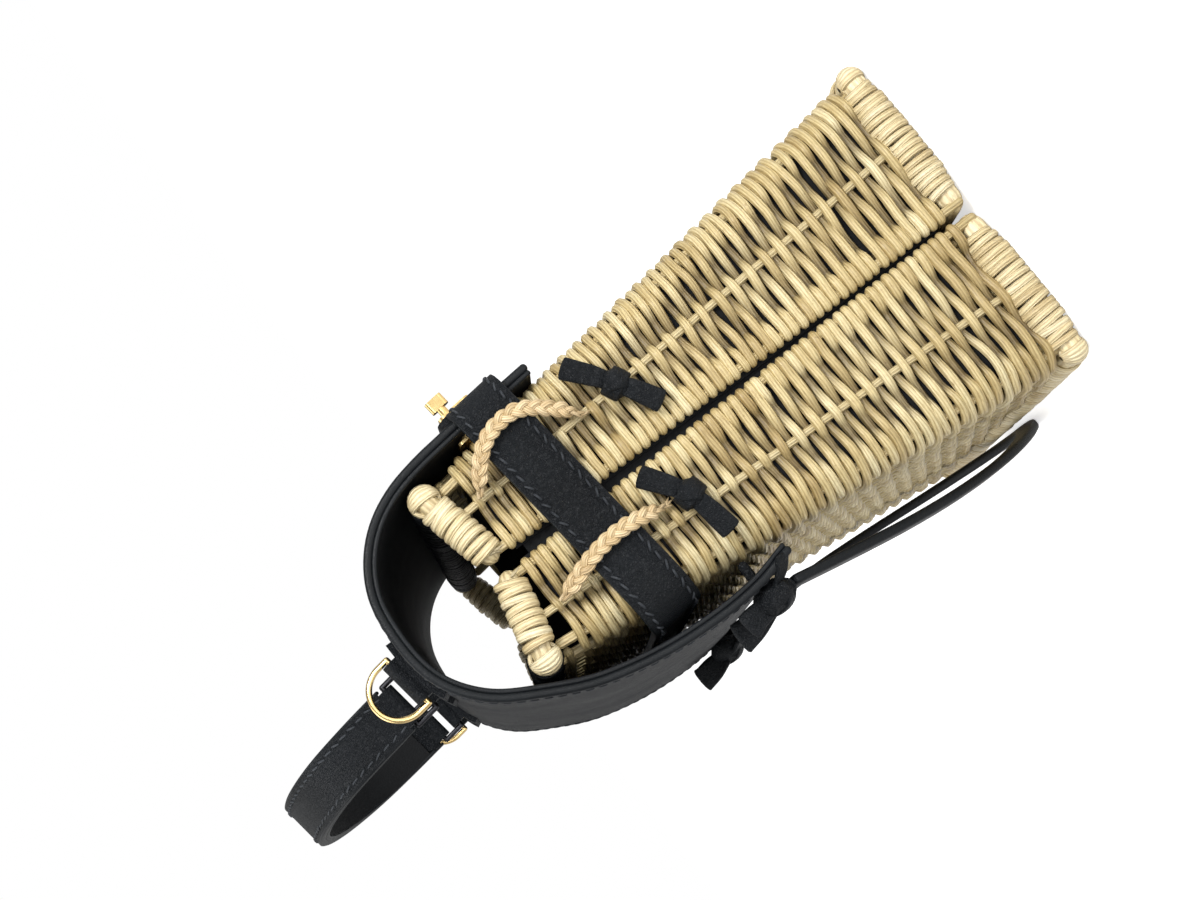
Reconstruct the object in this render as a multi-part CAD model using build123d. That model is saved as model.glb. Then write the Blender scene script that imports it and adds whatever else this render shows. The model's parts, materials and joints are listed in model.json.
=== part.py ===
"""Top-handle box bag in peeled wicker, with a leather flap, a belt and brass turn locks.

Row frame: +X along the bag, -Y to the locks, +Z up. The floor is z = 0 and the origin is under the
middle of the whole object. Everything is drawn about the bag's own middle plane first and is moved
to that origin at the end. All sizes are millimetres.
"""
from build123d import *
from math import cos, cosh, radians, sin
import os

# ---- wicker box: two open trays that meet on the middle plane ----
BASE_HALF_LENGTH = 100.0     # half length of the wicker at the floor
END_SLOPE = 0.018            # how much each end leans in for each mm of height
BASE_HALF_DEPTH = 50.0       # half depth of the wicker at the floor
SIDE_SLOPE = 0.125           # how much each long side leans in for each mm of height
WALL = 4.0                   # woven wall
CORNER_RADIUS = 12.0
WALL_BOTTOM = 8.7            # underside of the woven bottom
SLIT_START = 40.0            # height where the two trays begin to part
SLIT_LOW = 0.3
SLIT_TOP = 3.0
SEAT_GAP = 0.1               # clearance of a rod or band that lies on another piece

# ---- rims ----
RIM_Z = 163.5                # rod along the top of each long side
RIM_Y = 25.7
RIM_RADIUS = 4.0
KNOB_RADIUS = 4.6            # end of that rod
END_RIM_RADIUS = 3.7         # rod that runs down each end to the slit
END_RIM_Z = 158.8
END_RIM_Y = 5.0
LACING = 1.0                 # leather lacing round the rod
LACING_HALF_LENGTH = 89.0

FOOT_RADIUS = 4.5            # wrapped rod under each tray
FOOT_FLAT = 0.4              # worn flat that the bag stands on
FOOT_END_RADIUS = 4.2
FOOT_INNER_RADIUS = 3.3
FOOT_OVERHANG = 1.0          # how far the foot stands out past the wicker's depth
FOOT_INNER_Y = 4.0
LASHING = 0.8                # cane band that ties the two inner foot rods
LASHING_WIDTH = 7.0
LASHING_PLACES = (-60.0, 0.0, 60.0)

# ---- lining ----
LINING = 1.2
LINING_TOP = 152.0
GUSSET_HALF_WIDTH = 14.0
GUSSET_BOTTOM = 20.0
GUSSET_TOP = 150.0

# ---- flap: one leather sheet, over the top and down to the back ties ----
FLAP_HALF_LENGTH = 97.0
FLAP_LEATHER = 2.2
FLAP_LINING = 1.2
FLAP_OUTLINE = (             # outer face, (y, z), from the front lip to the hem behind
    (-38.6, 122.0), (-37.7, 134.0), (-37.2, 148.0), (-34.0, 168.0), (-26.5, 181.5), (-14.0, 190.0),
    (2.0, 192.0), (15.0, 189.5), (26.0, 181.5), (34.0, 169.0), (40.2, 156.0), (44.4, 139.0),
    (46.0, 122.0), (45.4, 108.0), (43.0, 97.0),
)

# ---- belt ----
BELT_WIDTH = 15.6
BELT_THICK = 2.2
BELT_Z = 133.4               # height of the belt's middle on the middle plane
BELT_TILT = 6.0              # degrees that the belt rises to the front
BELT_END_GAP = 3.0           # space between the wicker's end and the belt
BELT_FRONT_Y = 38.9          # inner face over the flap's front
BELT_BACK_Y = 36.2           # inner face behind the wicker
BELT_FRONT_RADIUS = 4.5
BELT_BACK_RADIUS = 10.0
TONGUE_END_X = 78.0          # where each front tongue of the belt stops
TONGUE_START_X = 96.0
TONGUE_CORNER = 5.0

# ---- turn locks ----
LOCK_X = 88.0
LOCK_RISE = 6.9              # height of the post over the belt's middle line
POST_RADIUS = 1.4
SPINDLE_RADIUS = 0.7
SPINDLE_CLEARANCE = 0.05
POST_INNER_Y = 33.1
POST_OUTER_Y = 42.6
BACKPLATE = (10.0, 0.8, 8.0)
EYELET_RADIUS = 2.5
EYELET_BORE = 1.8
EYELET_FLANGE = 3.5
EYELET_FLANGE_THICK = 0.3
EYELET_OUTER_Y = 38.0
EYELET_INNER_Y = 34.3
HEAD_START_Y = 44.9
HEAD = (2.8, 3.4, 5.4)       # closed: its long way stands across the slot
NECK_RADIUS = 1.3
SLOT = (6.2, 3.4)
BELT_PLATE = (12.0, 1.0, 10.4)
BELT_PLATE_DROP = 2.0        # plate's middle under the post
TONGUE_OVER_POST = 4.4

# ---- raffia loops and leather laces ----
RAFFIA_RADIUS = 1.5
LOOP_CLEARANCE = 0.4
LOOP_ROUTES = {              # (y, z): on the wicker, over the belt three times, on the wicker
    "back": ((17.0, 151.0), (14.5, 143.5), (12.0, 133.0), (12.6, 122.8), (14.0, 115.5)),
    "front": ((-17.0, 151.5), (-23.5, 147.5), (-29.5, 138.0), (-28.0, 126.5), (-18.0, 117.5)),
}
KNOT_PLACES = {"back": (15.5, 108.5), "front": (-19.0, 106.0)}
KNOT = (6.0, 9.0, 7.0)
KNOT_ROUND = 2.4
TAIL = (1.6, 5.5, 11.0)
TAIL_TURNS = (-58.0, 47.0)
TIE_X = 90.0
TIE_Z = 108.0
TIE_RADIUS = 1.5
TIE_HOLE_CLEARANCE = 0.2
TIE_KNOT = (10.0, 5.5, 13.0)
TIE_KNOT_GAP = 1.4           # keeps the knot's corners off the sloping sheet

STRAP_RADIUS = 1.6
STRAP_END_X = 88.0
STRAP_LOW = 2.4              # height of the hanging strap's middle
STRAP_SAG = 50.0             # size of the catenary that it hangs in
STRAP_OFF_WALL = 2.5
STRAP_BELLY = 4.8            # how far its left half stands out
STRAP_STEPS = 16

# ---- carriers on top of the flap ----
TOP_TILT = 8.0               # degrees that the carriers lean with the flap's slope
CARRIER_GAP = 0.05
LOOP_LEATHER = 1.3
BORE_CLEARANCE = 0.25
D_TAB_X = 86.0
D_TAB_Y = 7.5
D_TAB = (15.0, 19.0, 1.8)
D_LOOP_WIDTH = 13.3
D_WIRE = 0.85
D_ARC_RADIUS = 7.8           # to the middle of the wire
D_LEG = 3.2
HANDLE_X = 60.0
HANDLE_Y = 8.2
HANDLE_PAD = (16.0, 19.0, 1.6)
PAD_SINK = 0.6               # how far each loop beds into its curved base
RING_WIRE = 0.8
RING_LOOP_WIDTH = 12.0
RING_SIDE_CLEARANCE = 0.3
RING_SLOT = 2.0              # open height between the pad's loop and the handle's

# ---- handle ----
HANDLE_WIDTH = 14.0
HANDLE_LEATHER = 2.4
HANDLE_LINING = 1.5
HANDLE_RISE = 56.5           # top of the handle over the flap, along its own lean
HANDLE_BAND_START = 2.2      # start of the full-width band over the upper bar
HANDLE_STEPS = 24
LAYER_STEPS = 28


def half_length(z):
    return BASE_HALF_LENGTH - END_SLOPE * z


def half_depth(z):
    return BASE_HALF_DEPTH - SIDE_SLOPE * z


def rod(start, end, radius):
    """A round rod between two points."""
    line = Vector(*end) - Vector(*start)
    plane = Plane(origin=start, z_dir=line)
    return plane * Cylinder(radius, line.length, align=(Align.CENTER, Align.CENTER, Align.MIN))


def ball(place, radius):
    return Pos(*place) * Sphere(radius)


def prism_x(outline, half):
    """A closed outline of (y, z) points carried along X, both ways from the middle."""
    face = make_face(Plane.YZ * Polyline(*outline, close=True))
    return extrude(face, half, both=True)


# ---------------------------------------------------------------- wicker
def tapered_box(z_low, z_high, inset):
    """The box's rounded outline, moved in by inset, between two heights."""
    faces = []
    for z in (z_low, z_high):
        length = 2 * (half_length(z) - inset)
        depth = 2 * (half_depth(z) - inset)
        radius = max(CORNER_RADIUS - inset, 2.0)
        faces.append(Pos(0, 0, z) * RectangleRounded(length, depth, radius))
    return loft(faces)


RIM_WALL_TOP = RIM_Z - RIM_RADIUS - LACING - SEAT_GAP
END_FALL = (RIM_Z - END_RIM_Z) / (RIM_Y - END_RIM_Y)
FAR = 140.0


def half_space(side, gap_low, gap_top):
    """Everything on one side of the slit: a prism whose inner face follows the slit."""
    outline = [
        (side * gap_low / 2, -1.0), (side * gap_low / 2, SLIT_START),
        (side * gap_top / 2, RIM_Z), (side * gap_top / 2, 2 * RIM_Z),
        (side * FAR, 2 * RIM_Z), (side * FAR, -1.0),
    ]
    return prism_x(outline, FAR)


def end_wall_cut(side):
    """What the falling rod leaves above each end wall."""
    def rod_bottom(y):
        return END_RIM_Z + (y - END_RIM_Y) * END_FALL - END_RIM_RADIUS - SEAT_GAP * 2
    reach = RIM_Y + 0.5
    outline = [(-1.0 * side, rod_bottom(-1.0)), (reach * side, rod_bottom(reach)),
               (reach * side, RIM_Z + 20), (-1.0 * side, RIM_Z + 20)]
    return prism_x(outline, FAR)


def basket(side):
    shell = tapered_box(WALL_BOTTOM, RIM_WALL_TOP, 0) - tapered_box(WALL_BOTTOM + WALL, RIM_WALL_TOP + 5, WALL)
    return (shell & half_space(side, SLIT_LOW, SLIT_TOP)) - end_wall_cut(side)


def lining(side):
    bottom = WALL_BOTTOM + WALL
    shell = tapered_box(bottom, LINING_TOP, WALL) - tapered_box(bottom + LINING, LINING_TOP + 5, WALL + LINING)
    return shell & half_space(side, SLIT_LOW, SLIT_TOP)


def gusset(end):
    """A leather strip inside each end that closes the slit."""
    inset = WALL + LINING
    shell = tapered_box(GUSSET_BOTTOM, GUSSET_TOP, inset) - tapered_box(GUSSET_BOTTOM - 5, GUSSET_TOP + 5, inset + LINING)
    strip = Pos(end * BASE_HALF_LENGTH, 0, 0) * Box(
        60, 2 * GUSSET_HALF_WIDTH, 400)
    return shell & strip


def top_rim(side):
    x_end = half_length(END_RIM_Z) - WALL / 2
    shape = rod((-x_end, side * RIM_Y, RIM_Z), (x_end, side * RIM_Y, RIM_Z), RIM_RADIUS)
    for end in (-1, 1):
        knob = (end * x_end, side * RIM_Y, RIM_Z)
        tip = (end * x_end, side * END_RIM_Y, END_RIM_Z)
        shape = shape + rod(knob, tip, END_RIM_RADIUS) + ball(knob, KNOB_RADIUS) + ball(tip, END_RIM_RADIUS)
    return shape


def rim_lacing(side):
    start = (-LACING_HALF_LENGTH, side * RIM_Y, RIM_Z)
    end = (LACING_HALF_LENGTH, side * RIM_Y, RIM_Z)
    return rod(start, end, RIM_RADIUS + LACING) - rod(start, end, RIM_RADIUS)


FOOT_Z = FOOT_RADIUS - FOOT_FLAT
FOOT_OUTER_Y = BASE_HALF_DEPTH + FOOT_OVERHANG - FOOT_RADIUS
FOOT_END_X = BASE_HALF_LENGTH - FOOT_RADIUS
FOOT_END_Z = FOOT_END_RADIUS - FOOT_FLAT
FOOT_INNER_Z = LASHING + FOOT_INNER_RADIUS + 0.25


def base_rim(side):
    """A closed loop of wrapped rod under each tray, with a small worn flat underneath."""
    outer_y = side * FOOT_OUTER_Y
    end_y = side * (FOOT_END_RADIUS + 2 * SEAT_GAP)
    inner_y = side * FOOT_INNER_Y
    shape = rod((-FOOT_END_X, outer_y, FOOT_Z), (FOOT_END_X, outer_y, FOOT_Z), FOOT_RADIUS)
    shape = shape + rod((-FOOT_END_X, inner_y, FOOT_INNER_Z), (FOOT_END_X, inner_y, FOOT_INNER_Z), FOOT_INNER_RADIUS)
    for end in (-1, 1):
        corner = (end * FOOT_END_X, outer_y, FOOT_Z)
        stop = (end * FOOT_END_X, end_y, FOOT_END_Z)
        shape = shape + rod((end * FOOT_END_X, outer_y, FOOT_END_Z), stop, FOOT_END_RADIUS)
        shape = shape + ball(corner, FOOT_RADIUS) + ball(stop, FOOT_END_RADIUS)
    under = Box(3 * BASE_HALF_LENGTH, 3 * BASE_HALF_DEPTH, 10, align=(Align.CENTER, Align.CENTER, Align.MAX))
    return shape - under


def base_lashings():
    """Cane bands that tie the two inner foot rods together and let the trays open."""
    inner = SlotCenterToCenter(2 * FOOT_INNER_Y, 2 * (FOOT_INNER_RADIUS + SEAT_GAP))
    outer = SlotCenterToCenter(2 * FOOT_INNER_Y, 2 * (FOOT_INNER_RADIUS + SEAT_GAP + LASHING))
    band = extrude(outer - inner, LASHING_WIDTH / 2, both=True)
    bands = []
    for x in LASHING_PLACES:
        bands.append(Pos(x, 0, FOOT_INNER_Z) * Rot(0, 90, 0) * Rot(0, 0, 90) * band)
    return Compound(bands)


# ---------------------------------------------------------------- flap
def layer_face(edge, low, high, start=0.0, end=1.0, steps=LAYER_STEPS):
    """The strip between two offsets of a curve that lies in a plane, between two shares of its length."""
    def offset_curve(distance):
        points = []
        for step in range(steps + 1):
            share = start + (end - start) * step / steps
            tangent = edge % share
            normal = Vector(0, -tangent.Z, tangent.Y) if abs(tangent.X) < 1e-6 else Vector(-tangent.Z, 0, tangent.X)
            points.append(edge @ share + normal * distance)
        return Spline(*points)
    inner = offset_curve(low)
    outer = offset_curve(high)
    return make_face([inner, Line(inner @ 1, outer @ 1), outer, Line(outer @ 0, inner @ 0)])


def flap_curve():
    """The flap's outer face, as a curve in the YZ plane that runs from front to back."""
    return Spline(*[(0, y, z) for y, z in FLAP_OUTLINE])


FLAP_EDGE = flap_curve()


def flap_share(y):
    """Share of the flap's curve, over its top, where it reaches y."""
    low, high = 0.25, 0.75
    for _ in range(40):
        middle = (low + high) / 2
        if (FLAP_EDGE @ middle).Y < y:
            low = middle
        else:
            high = middle
    return low


def flap_height(y):
    return (FLAP_EDGE @ flap_share(y)).Z


def flap_back_y(z):
    """Outer face of the flap behind, at a height."""
    low, high = 0.7, 1.0
    for _ in range(40):
        middle = (low + high) / 2
        if (FLAP_EDGE @ middle).Z > z:
            low = middle
        else:
            high = middle
    return (FLAP_EDGE @ low).Y


def on_flap(x_middle, x_size, y_low, y_high, low, high):
    """A layer that lies on the flap's top between two heights over it."""
    face = layer_face(FLAP_EDGE, low, high, flap_share(y_low), flap_share(y_high), steps=8)
    return Pos(x_middle, 0, 0) * extrude(face, x_size / 2, dir=(1, 0, 0), both=True)


def belt_frame(place):
    """A place in the belt's own tilted frame."""
    return Pos(0, 0, BELT_Z) * Rot(-BELT_TILT, 0, 0) * Pos(*place)


def lock_cylinder(end, radius, y_low, y_high, rise=LOCK_RISE):
    """A cylinder on the lock's axis; y is counted outwards to the front."""
    turned = Rot(90, 0, 0) * Cylinder(radius, y_high - y_low, align=(Align.CENTER, Align.CENTER, Align.MIN))
    return belt_frame((end * LOCK_X, -y_low, rise)) * turned


def lock_box(end, size, y_low, rise, round_corners=0.0):
    """A plate or block square to the lock's axis; y is counted outwards to the front."""
    width, thick, height = size
    outline = RectangleRounded(width, height, round_corners) if round_corners else Rectangle(width, height)
    turned = Rot(90, 0, 0) * extrude(outline, thick)
    return belt_frame((end * LOCK_X, -y_low, rise)) * turned


def tie_hole(end, radius):
    return rod((end * TIE_X, half_depth(TIE_Z) + SEAT_GAP, TIE_Z), (end * TIE_X, FAR, TIE_Z), radius)


def flap_layer(low, high):
    shape = extrude(layer_face(FLAP_EDGE, low, high), FLAP_HALF_LENGTH, dir=(1, 0, 0), both=True)
    for end in (-1, 1):
        shape = shape - lock_cylinder(end, EYELET_RADIUS, EYELET_INNER_Y - 6, EYELET_OUTER_Y + 6)
        shape = shape - tie_hole(end, TIE_RADIUS + TIE_HOLE_CLEARANCE)
    return shape


def flap_tie(end):
    """A lace from the wicker's corner out through the flap, knotted on the outside."""
    outer_y = flap_back_y(TIE_Z) + 2 * SEAT_GAP
    knot_box = fillet(Box(*TIE_KNOT).edges(), KNOT_ROUND)
    knot = Pos(end * TIE_X, outer_y + TIE_KNOT[1] / 2 + TIE_KNOT_GAP, TIE_Z) * knot_box
    lace = rod((end * TIE_X, half_depth(TIE_Z) + SEAT_GAP, TIE_Z), (end * TIE_X, outer_y + TIE_KNOT[1] / 2, TIE_Z),
               TIE_RADIUS)
    return lace + knot


# ---------------------------------------------------------------- belt and locks
BELT_END_X = half_length(BELT_Z) + BELT_END_GAP


def belt_outline(grow):
    """The belt's path in plan, as a closed outline moved out by grow."""
    x = BELT_END_X + grow
    front = BELT_FRONT_Y + grow
    back = BELT_BACK_Y + grow
    front_radius = BELT_FRONT_RADIUS + grow
    back_radius = BELT_BACK_RADIUS + grow
    face = make_face(Polyline((-x, -front), (x, -front), (x, back), (-x, back), close=True))
    corners = face.vertices()
    face = fillet([v for v in corners if v.Y < 0], front_radius)
    return fillet([v for v in face.vertices() if abs(v.X) > x - 1e-3 and v.Y > back - 1e-3], back_radius)


def lock_slot(end):
    face = SlotOverall(*SLOT)
    return belt_frame((end * LOCK_X, -BELT_FRONT_Y + 5, LOCK_RISE)) * Rot(90, 0, 0) * extrude(face, 12)


def belt():
    ring = extrude(belt_outline(BELT_THICK) - belt_outline(0), BELT_WIDTH / 2, both=True)
    gap_in_front = Pos(0, -BELT_FRONT_Y, 0) * Box(2 * TONGUE_START_X - 8, 30, 40)
    strap = belt_frame((0, 0, 0)) * (ring - gap_in_front)
    low = -BELT_WIDTH / 2
    high = LOCK_RISE + TONGUE_OVER_POST
    width = TONGUE_START_X - TONGUE_END_X
    for end in (-1, 1):
        outline = RectangleRounded(width, high - low, TONGUE_CORNER)
        tongue = Rot(90, 0, 0) * extrude(outline, BELT_THICK)
        middle = (end * (TONGUE_START_X + TONGUE_END_X) / 2, -BELT_FRONT_Y, (high + low) / 2)
        strap = strap + belt_frame(middle) * tongue - lock_slot(end)
    return strap


def belt_plate(end):
    plate = lock_box(end, BELT_PLATE, BELT_FRONT_Y + BELT_THICK, LOCK_RISE - BELT_PLATE_DROP, 2.0)
    return plate - lock_slot(end)


def lock_base(end):
    """The plate behind the flap, with the hollow post that the lock turns in."""
    plate = lock_box(end, BACKPLATE, POST_INNER_Y, LOCK_RISE, 1.5)
    post = lock_cylinder(end, POST_RADIUS, POST_INNER_Y, POST_OUTER_Y)
    return plate + post - lock_cylinder(end, SPINDLE_RADIUS + SPINDLE_CLEARANCE, POST_INNER_Y - 1, POST_OUTER_Y + 1)


def lock_head(end):
    block = lock_box(end, HEAD, HEAD_START_Y, LOCK_RISE, 1.0)
    neck = lock_cylinder(end, NECK_RADIUS, POST_OUTER_Y + SPINDLE_CLEARANCE, HEAD_START_Y + 0.5)
    spindle = lock_cylinder(end, SPINDLE_RADIUS, POST_INNER_Y + 0.2, HEAD_START_Y)
    return block + neck + spindle


def flap_eyelet(end):
    sleeve = lock_cylinder(end, EYELET_RADIUS - SEAT_GAP, EYELET_INNER_Y, EYELET_OUTER_Y)
    flange = lock_cylinder(end, EYELET_FLANGE, EYELET_INNER_Y - EYELET_FLANGE_THICK, EYELET_INNER_Y)
    return sleeve + flange - lock_cylinder(end, EYELET_BORE, EYELET_INNER_Y - 2, EYELET_OUTER_Y + 1)


# ---------------------------------------------------------------- loops and laces
def jointed_cord(points, radius):
    """Straight round lengths with a ball at each point of the route."""
    shape = ball(points[0], radius)
    for start, stop in zip(points, points[1:]):
        shape = shape + rod(start, stop, radius) + ball(stop, radius)
    return shape


def belt_loop(end, row):
    """A braided raffia cord: fixed to the wicker above and below, and proud of the belt between."""
    route = LOOP_ROUTES[row]
    over_x = BELT_END_X + BELT_THICK + RAFFIA_RADIUS + LOOP_CLEARANCE
    points = []
    for place, (y, z) in enumerate(route):
        on_wicker = place in (0, len(route) - 1)
        x = half_length(z) + RAFFIA_RADIUS + SEAT_GAP if on_wicker else over_x
        points.append((end * x, y, z))
    return jointed_cord(points, RAFFIA_RADIUS)


def lace_knot(end, row):
    y, z = KNOT_PLACES[row]
    x = half_length(z - KNOT[2]) + KNOT[0] / 2 + SEAT_GAP
    shape = Pos(end * x, y, z) * fillet(Box(*KNOT).edges(), KNOT_ROUND)
    for turn in TAIL_TURNS:
        tail = Rot(turn, 0, 0) * Pos(0, 0, TAIL[2] / 2) * Box(*TAIL)
        shape = shape + Pos(end * x, y, z) * tail
    return shape


def hanging_strap():
    """A narrow leather strap in a catenary behind the bag, from one back tie to the other.

    Its left half stands out from the wicker, and its right half lies along the sloping wall.
    """
    knot_bottom = TIE_Z - TIE_KNOT[2] / 2
    end_z = knot_bottom - STRAP_RADIUS - SEAT_GAP
    sag = (end_z - STRAP_LOW) / (cosh(STRAP_END_X / STRAP_SAG) - 1)
    left_y = flap_back_y(TIE_Z) + TIE_KNOT[1] / 2 + 1.0
    right_y = flap_back_y(TIE_Z) + STRAP_RADIUS
    points = []
    for step in range(STRAP_STEPS + 1):
        share = 2 * step / STRAP_STEPS - 1
        z = STRAP_LOW + sag * (cosh(share * STRAP_END_X / STRAP_SAG) - 1)
        wall_z = STRAP_LOW if share < 0 else z
        y = half_depth(wall_z) + STRAP_RADIUS + STRAP_OFF_WALL
        if share < 0:
            y += (left_y - y) * share ** 4 + STRAP_BELLY * 6.75 * share ** 2 * (1 + share)
        else:
            y += (right_y - y) * share ** 8
        points.append((share * STRAP_END_X, y, z))
    return jointed_cord(points, STRAP_RADIUS)


# ---------------------------------------------------------------- carriers on the flap
def carrier(x, y, base, loop_width, bar_radius):
    """A leather tab on the flap whose loop holds a bar that runs across the bag."""
    shape = on_flap(x, base[0], y - base[1] / 2, y + base[1] / 2, CARRIER_GAP, CARRIER_GAP + base[2])
    height = carrier_height(base, bar_radius)
    tube_radius = bar_radius + BORE_CLEARANCE + LOOP_LEATHER
    frame = carrier_frame(x, y)
    across = Rot(90, 0, 0)
    tube = frame * Pos(0, 0, height) * across * Cylinder(tube_radius, loop_width)
    web = frame * Pos(0, 0, height / 2 + base[2] / 4) * Box(2 * tube_radius * 0.8, loop_width, height - base[2] / 2)
    bore = frame * Pos(0, 0, height) * across * Cylinder(bar_radius + BORE_CLEARANCE, loop_width + 20)
    return shape + tube + web - bore


def carrier_frame(x, y):
    """On the flap's outer face, leaning with it."""
    return Pos(x, y, flap_height(y)) * Rot(-TOP_TILT, 0, 0)


def carrier_height(base, bar_radius):
    """Height of the bar's middle over the flap."""
    return CARRIER_GAP + base[2] + bar_radius + BORE_CLEARANCE + LOOP_LEATHER - PAD_SINK


D_BAR_HEIGHT = carrier_height(D_TAB, D_WIRE)
RING_LOW = carrier_height(HANDLE_PAD, RING_WIRE)
RING_RISE = 2 * (RING_WIRE + BORE_CLEARANCE + LOOP_LEATHER) + RING_SLOT


def d_ring(end):
    frame = carrier_frame(end * D_TAB_X, D_TAB_Y) * Pos(0, 0, D_BAR_HEIGHT)
    arc = (Rot(0, 90, 0) * Torus(D_ARC_RADIUS, D_WIRE)) & Pos(0, 0, 50) * Box(100, 100, 100)
    shape = Pos(0, 0, D_LEG) * arc
    shape = shape + rod((0, -D_ARC_RADIUS, 0), (0, D_ARC_RADIUS, 0), D_WIRE)
    for side in (-1, 1):
        foot = (0, side * D_ARC_RADIUS, 0)
        shape = shape + rod(foot, (0, side * D_ARC_RADIUS, D_LEG), D_WIRE) + ball(foot, D_WIRE)
    return frame * shape


def handle_ring(end):
    """A slim closed link: one bar in the pad's loop, one in the handle's loop."""
    frame = carrier_frame(end * HANDLE_X, HANDLE_Y) * Pos(0, 0, RING_LOW)
    half = RING_LOOP_WIDTH / 2 + RING_SIDE_CLEARANCE + RING_WIRE
    corners = [(0, -half, 0), (0, half, 0), (0, half, RING_RISE), (0, -half, RING_RISE)]
    shape = ball(corners[-1], RING_WIRE)
    for start, stop in zip(corners, corners[1:] + corners[:1]):
        shape = shape + rod(start, stop, RING_WIRE) + ball(start, RING_WIRE)
    return frame * shape


def ring_bar(end, height):
    """Middle of a bar of the handle's ring, in the bag's own frame."""
    place = carrier_frame(end * HANDLE_X, HANDLE_Y) * Pos(0, 0, RING_LOW + height)
    return place.position


ACROSS = Vector(0, cos(radians(TOP_TILT)), -sin(radians(TOP_TILT)))
BAR_HEIGHT = RING_LOW + RING_RISE      # upper bars, over the flap along the lean


def across(face, width):
    """A face in the handle's own XZ plane, carried both ways along its Y."""
    return extrude(face, width / 2, dir=(0, 1, 0), both=True)


def handle_curve():
    """Outer face of the handle in its own XZ plane."""
    x_outer = HANDLE_X + (HANDLE_LEATHER + HANDLE_LINING) / 2
    low = BAR_HEIGHT + HANDLE_BAND_START
    rise = HANDLE_RISE - low
    shares = [(1.0, 0.0), (0.97, 0.30), (0.86, 0.60), (0.62, 0.83), (0.32, 0.96), (0.0, 1.0)]
    right = [(x_outer * a, 0, low + rise * b) for a, b in shares]
    left = [(-x, y, z) for x, y, z in right]
    return Spline(*(left[:-1] + right[::-1]))


HANDLE_EDGE = handle_curve()


def handle():
    shape = across(layer_face(HANDLE_EDGE, -HANDLE_LEATHER, 0, steps=HANDLE_STEPS), HANDLE_WIDTH)
    tube_radius = RING_WIRE + BORE_CLEARANCE + LOOP_LEATHER
    neck_thick = HANDLE_LEATHER + HANDLE_LINING
    bores = []
    for end in (-1, 1):
        plane = Plane(origin=(end * HANDLE_X, 0, BAR_HEIGHT), x_dir=(1, 0, 0), z_dir=(0, -1, 0))
        shape = shape + across(plane * Circle(tube_radius), RING_LOOP_WIDTH)
        neck = Pos(0, HANDLE_BAND_START / 2 + 0.3) * Rectangle(neck_thick, HANDLE_BAND_START + 0.6)
        shape = shape + across(plane * neck, RING_LOOP_WIDTH)
        bores.append(across(plane * Circle(RING_WIRE + BORE_CLEARANCE), RING_LOOP_WIDTH + 10))
    for bore in bores:
        shape = shape - bore
    return carrier_frame(0, HANDLE_Y) * shape


def handle_lining():
    trim = 0.03
    low = -HANDLE_LEATHER - HANDLE_LINING
    band = across(layer_face(HANDLE_EDGE, low, -HANDLE_LEATHER, trim, 1 - trim, HANDLE_STEPS), HANDLE_WIDTH)
    return carrier_frame(0, HANDLE_Y) * band


# ---------------------------------------------------------------- assembly
NODES = {}
for row, side in (("front", -1), ("back", 1)):
    NODES["basket_" + row] = basket(side)
    NODES["lining_" + row] = lining(side)
    NODES["top_rim_" + row] = top_rim(-1) if side < 0 else mirror(top_rim(-1), about=Plane.XZ)
    NODES["rim_lacing_" + row] = rim_lacing(side)
    NODES["base_rim_" + row] = base_rim(side)
NODES["base_lashings"] = base_lashings()
NODES["belt"] = belt()
NODES["flap"] = flap_layer(-FLAP_LEATHER, 0)
NODES["flap_lining"] = flap_layer(-FLAP_LEATHER - FLAP_LINING, -FLAP_LEATHER)
NODES["hanging_strap"] = hanging_strap()
NODES["handle"] = handle()
NODES["handle_lining"] = handle_lining()
for hand, end in (("left", -1), ("right", 1)):
    NODES["gusset_" + hand] = gusset(end)
    NODES["flap_tie_" + hand] = flap_tie(end)
    NODES["d_tab_" + hand] = carrier(end * D_TAB_X, D_TAB_Y, D_TAB, D_LOOP_WIDTH, D_WIRE)
    NODES["d_ring_" + hand] = d_ring(end)
    NODES["handle_pad_" + hand] = carrier(end * HANDLE_X, HANDLE_Y, HANDLE_PAD, RING_LOOP_WIDTH, RING_WIRE)
    NODES["handle_ring_" + hand] = handle_ring(end)
    NODES["lock_base_" + hand] = lock_base(end)
    NODES["lock_head_" + hand] = lock_head(end)
    NODES["belt_plate_" + hand] = belt_plate(end)
    NODES["flap_eyelet_" + hand] = flap_eyelet(end)
    for row in ("front", "back"):
        NODES["belt_loop_" + hand + "_" + row] = belt_loop(end, row)
        NODES["lace_knot_" + hand + "_" + row] = lace_knot(end, row)

# the whole object's middle, from the foot in front to the strap behind
STRAP_BACK = NODES["hanging_strap"].bounding_box().max.Y
FOOT_FRONT = NODES["base_rim_front"].bounding_box().min.Y
SHIFT = -(STRAP_BACK + FOOT_FRONT) / 2

os.makedirs("parts", exist_ok=True)
for name, shape in NODES.items():
    export_step(Pos(0, SHIFT, 0) * shape, "parts/" + name + ".step")
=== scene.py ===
import json
import math
import bpy
import numpy as np
from mathutils import Matrix, Vector


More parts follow.
